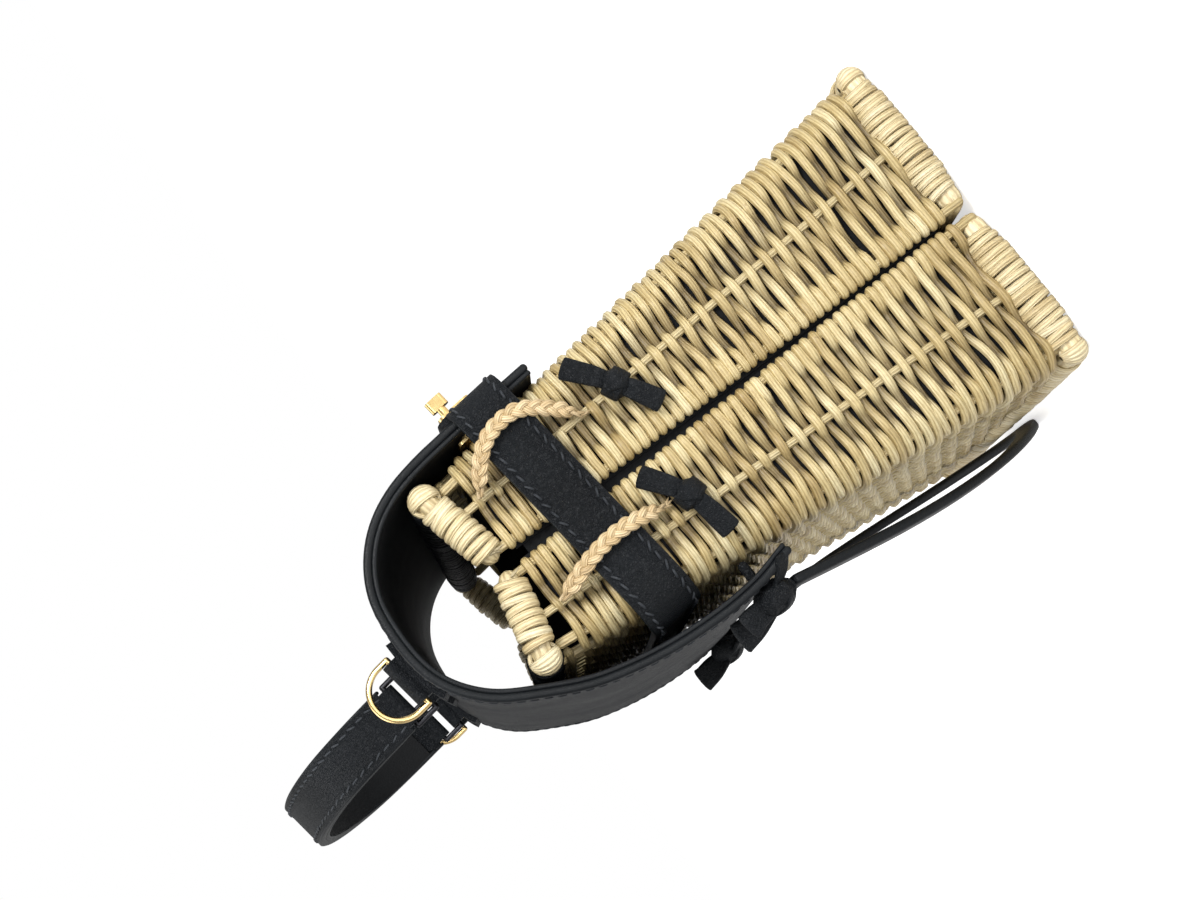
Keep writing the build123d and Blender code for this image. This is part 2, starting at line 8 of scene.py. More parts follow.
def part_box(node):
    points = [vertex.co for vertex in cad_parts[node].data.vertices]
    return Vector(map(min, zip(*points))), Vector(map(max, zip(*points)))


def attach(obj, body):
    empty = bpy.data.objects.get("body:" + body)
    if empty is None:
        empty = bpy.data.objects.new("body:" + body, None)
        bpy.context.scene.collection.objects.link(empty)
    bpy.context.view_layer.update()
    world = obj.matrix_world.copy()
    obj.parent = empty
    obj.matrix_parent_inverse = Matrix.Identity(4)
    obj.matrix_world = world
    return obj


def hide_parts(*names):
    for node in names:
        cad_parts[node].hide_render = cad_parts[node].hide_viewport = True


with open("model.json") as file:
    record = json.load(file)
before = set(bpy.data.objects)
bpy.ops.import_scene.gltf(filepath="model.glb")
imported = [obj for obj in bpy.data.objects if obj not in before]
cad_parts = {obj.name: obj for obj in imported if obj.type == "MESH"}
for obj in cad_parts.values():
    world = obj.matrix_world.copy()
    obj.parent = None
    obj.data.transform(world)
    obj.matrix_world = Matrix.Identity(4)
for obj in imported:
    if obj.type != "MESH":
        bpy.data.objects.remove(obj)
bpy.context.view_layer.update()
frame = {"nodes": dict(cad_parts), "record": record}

MM = 0.001
FOOT_FRONT = -51.0                       # front of the foot, from the bag's own middle plane, mm
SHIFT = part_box("base_rim_front")[0].y / MM - FOOT_FRONT

# ------------------------------------------------------------------ the bag's own sizes, mm
BASE_HALF_LENGTH, END_SLOPE = 100.0, 0.018
BASE_HALF_DEPTH, SIDE_SLOPE = 50.0, 0.125
CORNER = 12.0
SLIT_START, SLIT_LOW, SLIT_TOP, RIM_Z = 40.0, 0.3, 3.0, 163.5
RIM_Y, END_RIM_Y, END_RIM_Z = 25.7, 5.0, 158.8
ROW_PITCH, LOWEST_ROW, HIGHEST_ROW = 2.73, 10.4, 155.0
OUT, IN = -1.15, -3.5                    # middle of a strand before and behind a stake
STAKE_PITCHES = 7                        # from a corner stake to the middle of the long side
EDGE_STAKE = 2.6                         # from the slit to the middle of the edge stake
WOBBLE_WAVES = (19.0, 34.0, 61.0, 130.0) # wave lengths of a strand's rise and fall
WOBBLE, SCATTER = 0.16, 0.45             # spread of that rise, and of the stakes' places
STRAND_RADIUS, STRAND_SWELL = 1.20, 0.20 # radius behind a stake, and how much more before one
TURN_REACH, TURN_TAIL = 1.15, 2.4        # the turn round an edge stake: its reach and where it ends
END_STEP, SIDE_STEP, PAST_CORNER = 1.25, 1.9, 16.0   # steps along a strand, finer up to past the corner
FLOOR_Z, FLOOR_RODS, FLOOR_PITCH = 10.7, 16, 2.75    # the woven bottom's rods along the bag
CROSS_END, CROSS_PITCH, FLOOR_WAVE = 87.75, 13.5, 0.9    # its cross rods, and how far the others rise
LAST_ROWS = (157.6, 160.1)               # heights of the rows on the long side alone


def half_length(z):
    return BASE_HALF_LENGTH - END_SLOPE * z


def half_depth(z):
    return BASE_HALF_DEPTH - SIDE_SLOPE * z


# ------------------------------------------------------------------ surfaces
def frames(path, up):
    """Unit tangent, side and top of a path: side = tangent x up, top = side x tangent."""
    tangent = np.gradient(path, axis=0)
    tangent /= np.linalg.norm(tangent, axis=1)[:, None] + 1e-12
    side = np.cross(tangent, np.broadcast_to(np.asarray(up, float), path.shape))
    side /= np.linalg.norm(side, axis=1)[:, None] + 1e-12
    return tangent, side, np.cross(side, tangent)


def with_round_ends(path, size, up):
    """Adds three shrinking rings before and after a path, on a quarter ellipse of the section's size."""
    reach = np.array([1.0, 0.8, 0.42])
    shrink = np.array([0.06, 0.6, 0.9])
    first = path[0] - path[1]
    first = first / np.linalg.norm(first)
    last = path[-1] - path[-2]
    last = last / np.linalg.norm(last)
    before = path[0] + first * (reach * min(size[0]))[:, None]
    after = path[-1] + last * (reach[::-1] * min(size[-1]))[:, None]
    sizes = np.concatenate([size[:1] * shrink[:, None], size, size[-1:] * shrink[::-1, None]])
    ups = np.asarray(up, float)
    if ups.ndim == 2:
        ups = np.concatenate([np.repeat(ups[:1], 3, 0), ups, np.repeat(ups[-1:], 3, 0)])
    return np.concatenate([before, path, after]), sizes, ups


class Bundle:
    """Tubes and bands that are gathered into one mesh, with a length-and-angle UV map, a tone, and an amount
    of painted shade per vertex.
    """

    def __init__(self):
        self.verts, self.quads, self.uvs, self.tone, self.deep = [], [], [], [], []
        self.count = 0

    def add(self, grid, closed=False, tone=0.5, deep=0.0):
        """A grid of rings (rings, points, 3): quads join neighbours on two rings; open ends are capped."""
        rings, points = grid.shape[:2]
        i, j = np.meshgrid(np.arange(rings if closed else rings - 1), np.arange(points), indexing="ij")
        i2, j2 = (i + 1) % rings, (j + 1) % points
        corners = [i * points + j, i * points + j2, i2 * points + j2, i2 * points + j]
        quads = np.stack(corners, -1).reshape(-1, 4)
        step = np.linalg.norm(np.diff(grid.mean(1), axis=0), axis=1)
        length = np.concatenate([[0.0], np.cumsum(step)])
        near = length[i]
        far = length[i2] if not closed else np.where(i2 == 0, length[-1] + length[1], length[i2])
        marks = ((near, j), (near, j + 1), (far, j + 1), (far, j))
        uv = np.stack([np.stack([run, turn / points], -1) for run, turn in marks], 2).reshape(-1, 4, 2)
        if not closed:
            fan = np.array([[0, 2 * k + 1, 2 * k + 2, 2 * k + 3] for k in range((points - 2) // 2)])
            caps = np.concatenate([fan[:, ::-1], fan + (rings - 1) * points])
            quads = np.concatenate([quads, caps])
            uv = np.concatenate([uv, np.zeros((len(caps), 4, 2))])
        flat = grid.reshape(-1, 3)
        a, b, c, d = (flat[quads[:, k]] - flat.mean(0) for k in range(4))
        if np.einsum("ij,ij->", a, np.cross(b, c)) + np.einsum("ij,ij->", a, np.cross(c, d)) < 0:
            quads, uv = quads[:, ::-1], uv[:, ::-1]
        self.verts.append(flat)
        self.quads.append(quads + self.count)
        self.uvs.append(uv)
        self.tone.append(np.full(len(flat), tone))
        self.deep.append(np.repeat(np.broadcast_to(deep, rings), points))
        self.count += len(flat)

    def tube(self, path, radius, up=(0, 0, 1), sides=8, flat=1.0, closed=False, tone=0.5, deep=0.0,
             ends=True):
        """Rings of radius r about a path: p + side*r*cos(a) + top*r*flat*sin(a)."""
        path = np.asarray(path, float)
        radius = np.broadcast_to(np.asarray(radius, float), len(path))
        self.band(path, np.stack([radius, radius * flat], 1), up, sides, 2.0, closed, tone, deep, ends)

    def band(self, path, size, up, sides=12, power=4.0, closed=False, tone=0.5, deep=0.0, ends=True):
        """A superellipse |a/w|^n + |b/h|^n = 1 along a path; size is its half width and half thickness."""
        path = np.asarray(path, float)
        size = np.broadcast_to(np.asarray(size, float), (len(path), 2))
        if not closed and ends:
            path, size, up = with_round_ends(path, size, up)
            if np.ndim(deep):
                deep = np.pad(deep, 3, mode="edge")
        if closed:
            wide = np.concatenate([path[-1:], path, path[:1]])
            ups = np.asarray(up, float)
            if ups.ndim == 2:
                ups = np.concatenate([ups[-1:], ups, ups[:1]])
            _, side, top = (v[1:-1] for v in frames(wide, ups))
        else:
            _, side, top = frames(path, up)
        angle = 2 * np.pi * (np.arange(sides) + 0.5) / sides
        c = np.sign(np.cos(angle)) * np.abs(np.cos(angle)) ** (2 / power)
        s = np.sign(np.sin(angle)) * np.abs(np.sin(angle)) ** (2 / power)
        grid = (path[:, None] + side[:, None] * (c[None, :] * size[:, :1])[..., None]
                + top[:, None] * (s[None, :] * size[:, 1:])[..., None])
        self.add(grid, closed, tone, deep)

    def piece(self, name, body, slot, material, replaces=(), smooth=True):
        """The gathered surfaces as one finished object in metres, at the bag's place in the shared frame."""
        verts = np.concatenate(self.verts)
        verts[:, 2] = np.maximum(verts[:, 2], 0.0)   # worn flat where the bag stands
        verts = (verts + np.array([0, SHIFT, 0])) * MM
        mesh = bpy.data.meshes.new(name)
        mesh.from_pydata(verts.tolist(), [], np.concatenate(self.quads).tolist())
        uv = mesh.uv_layers.new(name="run")
        uv.data.foreach_set("uv", np.concatenate(self.uvs).reshape(-1).astype(np.float32))
        # the second attribute is the amount of painted shade that the wicker shader reads
        for label, values in (("tone", self.tone), ("deep", self.deep)):
            layer = mesh.attributes.new(label, "FLOAT", "POINT")
            layer.data.foreach_set("value", np.concatenate(values).astype(np.float32))
        mesh.polygons.foreach_set("use_smooth", np.full(len(mesh.polygons), smooth))
        mesh.materials.append(material)
        mesh.update()
        obj = bpy.data.objects.new(name, mesh)
        bpy.context.scene.collection.objects.link(obj)
        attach(obj, body)
        if replaces:
            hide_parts(*replaces)
        return obj


def eased(at, knots):
    """Half-cosine steps between (place, value) knots: flat at each knot."""
    knots = np.asarray(sorted(knots), float)
    k = np.clip(np.searchsorted(knots[:, 0], at, side="right") - 1, 0, len(knots) - 2)
    share = np.clip((at - knots[k, 0]) / (knots[k + 1, 0] - knots[k, 0]), 0, 1)
    return knots[k, 1] + (knots[k + 1, 1] - knots[k, 1]) * (1 - np.cos(np.pi * share)) / 2


# ------------------------------------------------------------------ shaders
class Socket:
    """One output socket; + - and * on it add Math nodes."""

    def __init__(self, nodes, link):
        self.nodes, self.link = nodes, link

    def math(self, operation, *others):
        return self.nodes.node("ShaderNodeMath", {"operation": operation}, self, *others)

    def __add__(self, other): return self.math("ADD", other)
    def __mul__(self, other): return self.math("MULTIPLY", other)
    def __sub__(self, other): return self.math("SUBTRACT", other)

    def __rsub__(self, other):
        return self.nodes.node("ShaderNodeMath", {"operation": "SUBTRACT"}, other, self)

    __radd__, __rmul__ = __add__, __mul__


class Finish:
    """A material whose nodes come from one method, node()."""

    def __init__(self, name):
        self.material = bpy.data.materials.new(name)
        self.material.use_nodes = True
        self.tree = self.material.node_tree
        self.shader = self.tree.nodes["Principled BSDF"]

    def node(self, kind, settings=None, *values, out=0, **named):
        made = self.tree.nodes.new(kind)
        for key, value in (settings or {}).items():
            if key == "stops":
                ramp = made.color_ramp
                while len(ramp.elements) < len(value):
                    ramp.elements.new(0.5)
                for element, (place, colour) in zip(ramp.elements, value):
                    element.position, element.color = place, (*colour, 1)
            else:
                setattr(made, key, value)
        for key, value in list(enumerate(values)) + list(named.items()):
            key = key.replace("_", " ") if isinstance(key, str) else key
            if isinstance(value, Socket):
                self.tree.links.new(value.link, made.inputs[key])
            elif value is not None:
                made.inputs[key].default_value = value
        return Socket(self, made.outputs[out])

    def noise(self, where, scale, detail=3.0, rough=0.55):
        return self.node("ShaderNodeTexNoise", None, where, out="Fac",
                         Scale=scale, Detail=detail, Roughness=rough)

    def stretched(self, where, scale):
        return self.node("ShaderNodeMapping", None, where, Scale=scale)

    def mix(self, share, first, second, blend="MIX"):
        made = self.tree.nodes.new("ShaderNodeMix")
        made.data_type, made.blend_type = "RGBA", blend
        for socket, value in ((made.inputs[0], share), (made.inputs[6], first), (made.inputs[7], second)):
            if isinstance(value, Socket):
                self.tree.links.new(value.link, socket)
            else:
                socket.default_value = (*value, 1) if isinstance(value, tuple) else value
        return Socket(self, made.outputs[2])

    def done(self, colour, rough, height=None, strength=0.3, distance=0.0004, **plain):
        for name, value in (("Base Color", colour), ("Roughness", rough)):
            if isinstance(value, Socket):
                self.tree.links.new(value.link, self.shader.inputs[name])
            else:
                self.shader.inputs[name].default_value = (*value, 1) if isinstance(value, tuple) else value
        for name, value in plain.items():
            self.shader.inputs[name.replace("_", " ")].default_value = value
        if height is not None:
            bump = self.node("ShaderNodeBump", None, strength, distance, Height=height)
            self.tree.links.new(bump.link, self.shader.inputs["Normal"])
        return self.material


def place_of(f):
    return f.node("ShaderNodeTexCoord", None, out="Object")


RIDGES = 8                                # grooves round one strand
DIVE_SHADE = 0.42                         # the dark tone's share that is left as painted shade where a strand dives


def woody(name, pale, mid, dark, gloss=0.42):
    """Peeled willow or cane: fibres and grooves on the run UV, a tone per strand, and painted shade, darker
    and browner, where it dives.
    """
    f = Finish(name)
    run = f.node("ShaderNodeUVMap", {"uv_map": "run"})
    tone = f.node("ShaderNodeAttribute", {"attribute_name": "tone"}, out="Fac")
    deep = f.node("ShaderNodeAttribute", {"attribute_name": "deep"}, out="Fac")
    here = place_of(f)
    fibre = f.noise(f.stretched(run, (0.16, 15.0, 1.0)), 1.0, 4.0, 0.6)
    thread = f.noise(f.stretched(run, (0.5, 46.0, 1.0)), 1.0, 2.0, 0.5)
    patch = f.noise(here, 60.0, 3.0)
    fleck = f.noise(here, 700.0, 2.0)
    across = f.node("ShaderNodeSeparateXYZ", None, run, out="Y")
    ridge = (across * (2 * math.pi * RIDGES) + patch * 9.0).math("SINE")
    level = tone * 0.6 + patch * 0.5 + fibre * 0.7 - 0.46
    colour = f.node("ShaderNodeValToRGB", {"stops": [(0.0, dark), (0.42, mid), (0.85, pale)]}, level)
    # painted shade: the colour is mixed towards a dark brown by the per-vertex shade amount, strongest where
    # a strand dives behind a stake
    shade = f.node("ShaderNodeMath", {"operation": "MULTIPLY", "use_clamp": True}, deep, 0.9)
    colour = f.mix(shade, colour, tuple(c * DIVE_SHADE for c in dark))
    lines = f.node("ShaderNodeValToRGB", {"stops": [(0.30, (0.62, 0.56, 0.48)), (0.52, (1, 1, 1))]}, thread)
    colour = f.mix(0.6, colour, lines, "MULTIPLY")
    groove_shade = {"stops": [(0.0, (0.60, 0.52, 0.42)), (0.42, (1, 1, 1))]}
    grooves = f.node("ShaderNodeValToRGB", groove_shade, ridge * 0.5 + 0.5)
    colour = f.mix(0.7, colour, grooves, "MULTIPLY")
    specks = f.node("ShaderNodeValToRGB", {"stops": [(0.24, (0.45, 0.33, 0.2)), (0.34, (1, 1, 1))]}, fleck)
    colour = f.mix(0.5, colour, specks, "MULTIPLY")
    return f.done(colour, fibre * 0.3 + (gloss - 0.1), fibre * 0.5 + thread * 0.5 + ridge * 0.3, 0.8, 0.0005,
                  Coat_Weight=0.22, Coat_Roughness=0.3)


def leather(name, base, worn, gloss, grain, strength):
    """Pebbled leather: small cells with creases between them, fine pores, and a sheen that wanders."""
    f = Finish(name)
    here = place_of(f)
    wander = f.noise(here, 1900.0, 2.0)
    bent = f.mix(0.0012, here, f.node("ShaderNodeTexNoise", None, here, out="Color", Scale=700.0))
    cells = f.node("ShaderNodeTexVoronoi", {"feature": "DISTANCE_TO_EDGE"}, bent, out="Distance", Scale=grain)
    pebble = f.node("ShaderNodeValToRGB", {"stops": [(0.0, (0, 0, 0)), (0.32, (1, 1, 1))]}, cells)
    broad = f.noise(here, 45.0, 3.0)
    level = broad * 0.7 + wander * 0.4 - 0.1
    colour = f.node("ShaderNodeValToRGB", {"stops": [(0.2, base), (0.8, worn)]}, level)
    height = f.node("ShaderNodeMath", {"operation": "MULTIPLY_ADD"}, pebble, 0.8, wander * 0.35)
    return f.done(colour, broad * 0.22 + gloss, height, strength, 0.0003, Specular_IOR_Level=0.15)


def metal(name, base, warm, rough):
    """Polished metal with hairlines and a faint cloud."""
    f = Finish(name)
    here = place_of(f)
    cloud = f.noise(here, 120.0, 3.0)
    hair = f.noise(f.stretched(here, (900.0, 900.0, 6000.0)), 1.0, 2.0)
    colour = f.node("ShaderNodeValToRGB", {"stops": [(0.3, base), (0.75, warm)]}, cloud)
    return f.done(colour, cloud * 0.12 + hair * 0.08 + rough, hair, 0.05, 0.0001, Metallic=1.0)


WICKER = woody("peeled_willow", (0.80, 0.71, 0.45), (0.60, 0.48, 0.235), (0.34, 0.235, 0.085))
CANE = woody("split_cane", (0.86, 0.77, 0.53), (0.72, 0.60, 0.345), (0.42, 0.30, 0.13), 0.36)
RAFFIA = woody("twisted_raffia", (0.82, 0.67, 0.43), (0.64, 0.48, 0.26), (0.36, 0.24, 0.11), 0.48)
BLACK_LEATHER = leather("black_calf", (0.0035, 0.0042, 0.005), (0.010, 0.012, 0.0145), 0.37, 1500.0, 0.85)
SMOOTH_EDGE = leather("painted_edge", (0.004, 0.0048, 0.0056), (0.011, 0.013, 0.015), 0.28, 1700.0, 0.2)
LINING = leather("black_lining", (0.004, 0.0045, 0.005), (0.009, 0.0095, 0.0105), 0.62, 1500.0, 0.25)
THREAD = leather("waxed_thread", (0.016, 0.018, 0.021), (0.05, 0.055, 0.062), 0.30, 2600.0, 0.3)
BRASS = metal("polished_brass", (0.72, 0.50, 0.20), (0.86, 0.66, 0.33), 0.14)
BLACK_METAL = metal("blackened_steel", (0.02, 0.02, 0.022), (0.045, 0.045, 0.05), 0.32)

CARRIED = {"wicker": WICKER, "cane": CANE, "raffia": RAFFIA, "black_leather": BLACK_LEATHER,
           "lining_leather": LINING, "brass": BRASS, "black_metal": BLACK_METAL}
for part in frame["record"]["subparts"]:
    carried = frame["nodes"][part["node"]]
    carried.data.materials.clear()
    carried.data.materials.append(CARRIED[part["material_slot"]])


# ------------------------------------------------------------------ wicker
def wall_place(s, offset, z, side):
    """Point on a tray's wall: s runs from the slit on the left end round the long side to the right end.

    Each end is straight, then a quarter circle, then half the long side; the right half mirrors the left.
    """
    gap = SLIT_LOW / 2 + max(0.0, z - SLIT_START) / (RIM_Z - SLIT_START) * (SLIT_TOP - SLIT_LOW) / 2
    long_half, deep_half = half_length(z), half_depth(z)
    flat = deep_half - CORNER - gap
    arc = np.pi * CORNER / 2
    half = flat + arc + long_half - CORNER
    hand = np.where(s > half, 1.0, -1.0)
    s = np.where(s > half, 2 * half - s, s)
    turn = np.clip((s - flat) / CORNER, 0, np.pi / 2)
    outward = np.stack([-np.cos(turn), np.sin(turn)], 1)
    x = -long_half + CORNER + CORNER * outward[:, 0] + np.maximum(0, s - flat - arc)
    y = gap + np.minimum(s, flat) + CORNER * outward[:, 1]
    x, y = x + outward[:, 0] * offset, y + outward[:, 1] * offset
    return np.stack([-hand * x, side * y, np.broadcast_to(z, s.shape)], 1), \
        np.stack([-hand * outward[:, 0], side * outward[:, 1], np.zeros(len(s))], 1), flat, half


def wall_marks(z):
    """Middle stake, end of the flat, corner stake, pitch of the long side's stakes, half the wall's run."""
    _, _, flat, half = wall_place(np.zeros(1), 0, z, 1)
    corner = flat + np.pi * CORNER / 4
    return half_depth(z) / 2, flat, corner, (half - corner) / STAKE_PITCHES, half


def scattered(knots, rng):
    """The knots with each stake moved a little along the wall; the edge stake stays."""
    return [(a + (rng.normal(0, SCATTER) if a > EDGE_STAKE + 3 else 0), b) for a, b in knots]


def weave_row(bundle, z, side, kind, rng):
    """One strand round a tray: its depth steps by half cosines, and it turns round both edge stakes."""
    middle, flat, corner, pitch, half = wall_marks(z)
    # each knot: a place along the wall and the strand's depth there
    if kind == 0:
        knots = [(EDGE_STAKE, OUT), (5.4, OUT - 0.1), (9.4, IN), (11.0, IN + 0.2), (middle, OUT + 0.15),
                 (flat - 4.0, IN + 0.2), (flat - 0.5, IN), (corner - 3.0, OUT), (corner + 3.5, OUT)]
    else:
        knots = [(EDGE_STAKE, OUT), (middle - 11.0, OUT), (middle, IN), (middle + 11.0, OUT),
                 (corner + 2.0, OUT)]
    for k in range(1, STAKE_PITCHES + 1):
        knots.append((corner + pitch * k, IN + 0.15 if (k + kind) % 2 == 1 else OUT))
    along = np.concatenate([np.arange(EDGE_STAKE, flat + PAST_CORNER, END_STEP),
                            np.arange(flat + (PAST_CORNER + 0.5), half, SIDE_STEP)])
    knots = scattered(knots, rng)
    left = eased(along, knots)
    right = eased(along, scattered(knots, rng))
    turn = np.linspace(-np.pi / 2, np.pi / 2, 6)[:-1]
    turn_s = np.concatenate([[EDGE_STAKE + TURN_TAIL], EDGE_STAKE - TURN_REACH * np.cos(turn)])
    turn_d = np.concatenate([[IN], (OUT + IN) / 2 + (OUT - IN) / 2 * np.sin(turn)])
    s = np.concatenate([turn_s, along, (2 * half - along)[::-1], (2 * half - turn_s)[::-1]])
    d = np.concatenate([turn_d, left, right[::-1], turn_d[::-1]])
    wobble = sum(rng.normal(0, WOBBLE) * np.sin(2 * np.pi * s / wave + rng.uniform(0, 6.3))
                 for wave in WOBBLE_WAVES)
    place, outward, _, _ = wall_place(s, d, z, side)
    place[:, 2] += wobble
    near = np.clip((d - IN) / (OUT - IN), 0, 1)
    radius = (STRAND_RADIUS + STRAND_SWELL * near) * rng.normal(1.0, 0.035)
    radius = radius * (1 + 0.05 * np.sin(s / rng.uniform(6, 11)))
    tone = float(np.clip(rng.normal(0.5, 0.22), 0, 1))
    # painted shade: the strand is darkened where it passes behind a stake
    bundle.tube(place, radius, up=(0, 0, 1), sides=8, flat=0.98, tone=tone, deep=(1 - near) ** 1.3)


def stake(bundle, place, z_low, z_high, side, radius, depth, hand, rng):
    """An upright rod in the wall, from z_low to z_high; place gives its s from the wall's marks there."""
    points = []
    for z in np.linspace(z_low, z_high, 26):
        marks = wall_marks(z)
        s = place(marks) if hand < 0 else 2 * marks[-1] - place(marks)
        points.append(wall_place(np.array([s]), depth, z, side)[0][0])
    # painted shade: each stake is darkened by a fixed amount
    bundle.tube(points, radius, up=(1, 0.02, 0), sides=8, tone=float(rng.uniform(0.45, 0.75)), deep=0.22)


def woven_tray(row, side, seed):
    rng = np.random.default_rng(seed)
    bundle = Bundle()
    rows = int((HIGHEST_ROW - LOWEST_ROW) / ROW_PITCH) + 1
    for k in range(rows):
        weave_row(bundle, LOWEST_ROW + k * ROW_PITCH + rng.normal(0, 0.1), side, k % 2, rng)
    bundle.piece("weave_" + row, "bag", "wicker", WICKER, replaces=["basket_" + row])
    stakes = Bundle()
    for hand in (-1, 1):
        stake(stakes, lambda marks: EDGE_STAKE, 3.4, 156.0, side, 1.35, (OUT + IN) / 2, hand, rng)
        stake(stakes, lambda marks: marks[0], 5.0, 156.5, side, 1.2, -2.4, hand, rng)
        stake(stakes, lambda marks: marks[2], 4.4, 158.0, side, 1.5, -2.5, hand, rng)
        for k in range(1, STAKE_PITCHES + (hand < 0)):
            stake(stakes, lambda marks: marks[2] + marks[3] * k, 6.0, 160.0, side, 1.45, -2.3, hand, rng)
    # woven bottom: rods along the bag that rise and fall over cross rods, both darkened by a fixed painted
    # shade
    for k in range(FLOOR_RODS):
        y = side * (2.4 + FLOOR_PITCH * k)
        x = np.arange(-95.0, 95.1, 2.4)
        z = FLOOR_Z + FLOOR_WAVE * np.sin(np.pi * (x / CROSS_PITCH + k)) + rng.normal(0, 0.05)
        rod = np.stack([x, np.full_like(x, y), z], 1)
        stakes.tube(rod, 1.5, sides=6, tone=float(rng.uniform(0.3, 0.7)), deep=0.35)
    for x in np.arange(-CROSS_END, 88, CROSS_PITCH):
        y = np.linspace(2.5, 44.5, 8) * side
        cross_rod = np.stack([np.full_like(y, x), y, np.full_like(y, FLOOR_Z)], 1)
        stakes.tube(cross_rod, 1.3, sides=6, deep=0.4)
    # two last rows on the long side alone, up to the laced rod, with a little painted shade
    for k, z in enumerate(LAST_ROWS):
        x = np.arange(-86.0, 86.1, 2.0)
        y = side * (half_depth(z) - 2.3 + 1.1 * np.sin(np.pi * (x / 13.9 + k)))
        stakes.tube(np.stack([x, y, np.full_like(x, z)], 1), 1.45, sides=6, tone=0.5, deep=0.3)
    stakes.piece("stakes_" + row, "bag", "wicker", WICKER)


# ------------------------------------------------------------------ wrapped rods
def circle(count):
    return np.linspace(0, 2 * np.pi, count, endpoint=False)


def fan_ring(bundle, centre, spoke, radius, size, tone, count=20):
    """A strip round a rod's end: centre + r*(spoke*cos + upright*sin), a circle that stands on the spoke."""
    angle = circle(count)
    around = spoke * np.cos(angle)[:, None] + np.array((0, 0, 1.0)) * np.sin(angle)[:, None]
    bundle.band(centre + around * radius, size, around, sides=8, power=2.6, closed=True, tone=tone)


def wraps(bundle, start, stop, radius, width, rng, thick=0.75, lean=0.12, swell=0.0):
    """Flat strips wound round a straight rod: closed rings that touch, tilted a little, fuller mid-rod."""
    start, stop = np.asarray(start, float), np.asarray(stop, float)
    run = stop - start
    length = np.linalg.norm(run)
    axis = run / length
    one = np.cross(axis, (0.13, 0.21, 0.97))
    one /= np.linalg.norm(one)
    two = np.cross(axis, one)
    count = max(1, int(round(length / width)))
    angle = circle(20)
    for k in range(count):
        share = (k + 0.5) / count
        centre = start + axis * share * length
        tilt = rng.normal(lean, 0.03)
        phase = rng.uniform(0, 6.28)
        ring_radius = radius + thick * 0.5 + rng.uniform(-0.05, 0.16) + swell * (1 - (2 * share - 1) ** 4)
        around = one * np.cos(angle)[:, None] + two * np.sin(angle)[:, None]
        ring = centre + around * (ring_radius * (1 + 0.03 * np.sin(2 * angle + phase)))[:, None] \
            + axis * (tilt * radius * np.sin(angle + phase))[:, None]
        half_width = length / count * 0.53 * rng.normal(1.0, 0.05)
        bundle.band(ring, (half_width, thick), around, sides=8, power=2.6, closed=True,
                    tone=float(np.clip(rng.normal(0.6, 0.2), 0, 1)), deep=0.0)


TOP_ROD, END_ROD = 3.9, 2.9               # radii inside the wraps: the long top rod, its short end rods
FOOT_END_X, FOOT_OUTER_Y, FOOT_INNER_Y, FOOT_END_Z = 95.5, 46.5, 4.0, 4.3
OUTER_FOOT, INNER_FOOT, END_FOOT = 3.7, 3.2, 3.55


